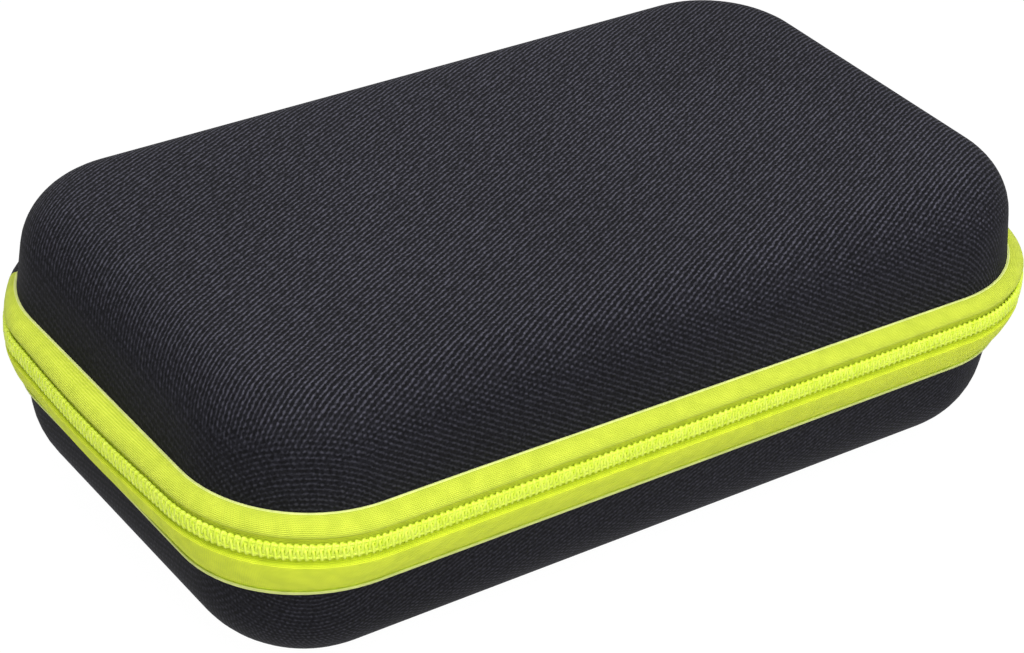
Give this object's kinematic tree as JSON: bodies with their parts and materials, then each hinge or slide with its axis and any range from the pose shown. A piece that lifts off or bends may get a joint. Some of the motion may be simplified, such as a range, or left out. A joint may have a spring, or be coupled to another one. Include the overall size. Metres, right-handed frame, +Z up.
{
  "type": "electric shaver hard case",
  "caption": "Hard zip case for an electric shaver: two moulded fabric-covered shells on a cloth hinge, with a coil zip, foam tray and net pocket.",
  "frame": {"origin": "centre of the flat underside that the case stands on", "axes": "+X along the case towards the side where the zip sliders park, -Y towards the front long side, +Z up through the lid"},
  "size_m": [0.2428, 0.142, 0.0755],
  "materials": {
    "woven_black": "diagonal woven polyester, matt",
    "shell_foam": "moulded EVA foam",
    "lining_grey": "brushed tricot knit",
    "binding_black": "ribbed woven tape",
    "zip_tape_lime": "herringbone woven zip tape",
    "zip_coil_lime": "nylon coil",
    "lime_enamel": "gloss enamel on zinc",
    "lime_rubber": "soft moulded, satin",
    "tray_foam": "foam with a brushed face",
    "elastic_black": "ribbed elastic webbing",
    "net_black": "knotted polyester net"
  },
  "bodies": {
    "base": {"base_cover": "woven_black", "base_core": "shell_foam", "base_lining": "lining_grey", "base_binding": "binding_black", "base_zip_tape": "zip_tape_lime", "base_zip_coil": "zip_coil_lime", "base_zip_stops": "lime_enamel", "foam_tray": "tray_foam", "shaver_strap": "elastic_black", "strap_tabs": "elastic_black", "hinge_strip": "binding_black", "hinge_inner_tape": "binding_black"},
    "lid": {"lid_cover": "woven_black", "lid_core": "shell_foam", "lid_lining": "lining_grey", "lid_binding": "binding_black", "lid_zip_tape": "zip_tape_lime", "lid_zip_coil": "zip_coil_lime", "lid_zip_stops": "lime_enamel", "pocket_net": "net_black", "pocket_hem": "elastic_black", "pocket_border": "binding_black"},
    "front_slider": {"front_slider": "lime_enamel"},
    "front_pull": {"front_pull": "lime_enamel", "front_grip": "lime_rubber"},
    "rear_slider": {"rear_slider": "lime_enamel"},
    "rear_pull": {"rear_pull": "lime_enamel", "rear_grip": "lime_rubber"}
  },
  "joints": [
    {"name": "lid_hinge", "type": "hinge", "parent": "base", "child": "lid", "pos_m": [0, 0.07035, 0.043], "axis": [-1, 0, 0], "range_deg": [0, 180], "deforming": ["hinge_strip", "hinge_inner_tape", "lid_zip_coil", "base_zip_coil"]},
    {"name": "front_slide", "type": "slide", "parent": "base", "child": "front_slider", "axis": [0, -1, 0], "range_m": [0, 0.02], "deforming": ["lid_zip_coil", "base_zip_coil"]},
    {"name": "rear_slide", "type": "slide", "parent": "base", "child": "rear_slider", "axis": [0, 1, 0], "range_m": [0, 0.02], "deforming": ["lid_zip_coil", "base_zip_coil"]},
    {"name": "front_pull_swing", "type": "hinge", "parent": "front_slider", "child": "front_pull", "pos_m": [0.12165, -0.0073, 0.043], "axis": [0, 0, 1], "range_deg": [0, 160]},
    {"name": "rear_pull_swing", "type": "hinge", "parent": "rear_slider", "child": "rear_pull", "pos_m": [0.12165, 0.0073, 0.043], "axis": [0, 0, -1], "range_deg": [0, 160]}
  ]
}
